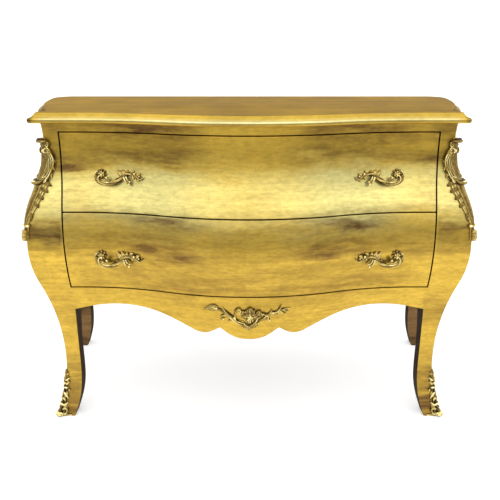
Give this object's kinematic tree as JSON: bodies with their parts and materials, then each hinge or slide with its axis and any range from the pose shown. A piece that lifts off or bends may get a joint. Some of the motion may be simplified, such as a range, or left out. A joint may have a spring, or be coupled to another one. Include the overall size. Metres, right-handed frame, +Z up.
{
  "type": "commode chest",
  "caption": "Bombé commode chest with serpentine gold-leaf drawer fronts, moulded top, cabriole legs and cast scroll mounts; the drawers slide out.",
  "frame": {"origin": "on the floor, under the middle of the overall box", "axes": "+Z up, -Y out of the drawer fronts, +X to the right of someone who faces the fronts"},
  "size_m": [1.27, 0.533, 0.85],
  "materials": {
    "gilt_wood": "gold leaf with a brown patina, satin lacquer",
    "carcass_wood": "dark stained, matt",
    "back_board": "stained plywood, matt",
    "drawer_wood": "oiled, matt",
    "gilt_bronze": "cast, aged gilding with dark recesses"
  },
  "bodies": {
    "carcass": {"top_panel": "gilt_wood", "front_left_leg": "gilt_wood", "front_right_leg": "gilt_wood", "rear_left_leg": "gilt_wood", "rear_right_leg": "gilt_wood", "left_side_panel": "gilt_wood", "right_side_panel": "gilt_wood", "frieze_rail": "gilt_wood", "front_apron": "gilt_wood", "divider_rail": "carcass_wood", "rear_top_rail": "carcass_wood", "rear_middle_rail": "carcass_wood", "rear_bottom_rail": "carcass_wood", "bottom_board": "carcass_wood", "left_kicker": "carcass_wood", "right_kicker": "carcass_wood", "upper_left_runner": "carcass_wood", "upper_right_runner": "carcass_wood", "lower_left_runner": "carcass_wood", "lower_right_runner": "carcass_wood", "upper_drawer_stops": "carcass_wood", "lower_drawer_stops": "carcass_wood", "back_panel": "back_board", "left_corner_mount": "gilt_bronze", "right_corner_mount": "gilt_bronze", "left_sabot": "gilt_bronze", "right_sabot": "gilt_bronze", "apron_mount": "gilt_bronze"},
    "upper_drawer": {"upper_drawer_front": "gilt_wood", "upper_drawer_left_side": "drawer_wood", "upper_drawer_right_side": "drawer_wood", "upper_drawer_back": "drawer_wood", "upper_drawer_bottom": "drawer_wood", "upper_left_handle": "gilt_bronze", "upper_right_handle": "gilt_bronze"},
    "lower_drawer": {"lower_drawer_front": "gilt_wood", "lower_drawer_left_side": "drawer_wood", "lower_drawer_right_side": "drawer_wood", "lower_drawer_back": "drawer_wood", "lower_drawer_bottom": "drawer_wood", "lower_left_handle": "gilt_bronze", "lower_right_handle": "gilt_bronze"}
  },
  "joints": [
    {"name": "upper_drawer_slide", "type": "slide", "parent": "carcass", "child": "upper_drawer", "axis": [0, -1, 0], "range_m": [0, 0.3]},
    {"name": "lower_drawer_slide", "type": "slide", "parent": "carcass", "child": "lower_drawer", "axis": [0, -1, 0], "range_m": [0, 0.3]}
  ]
}
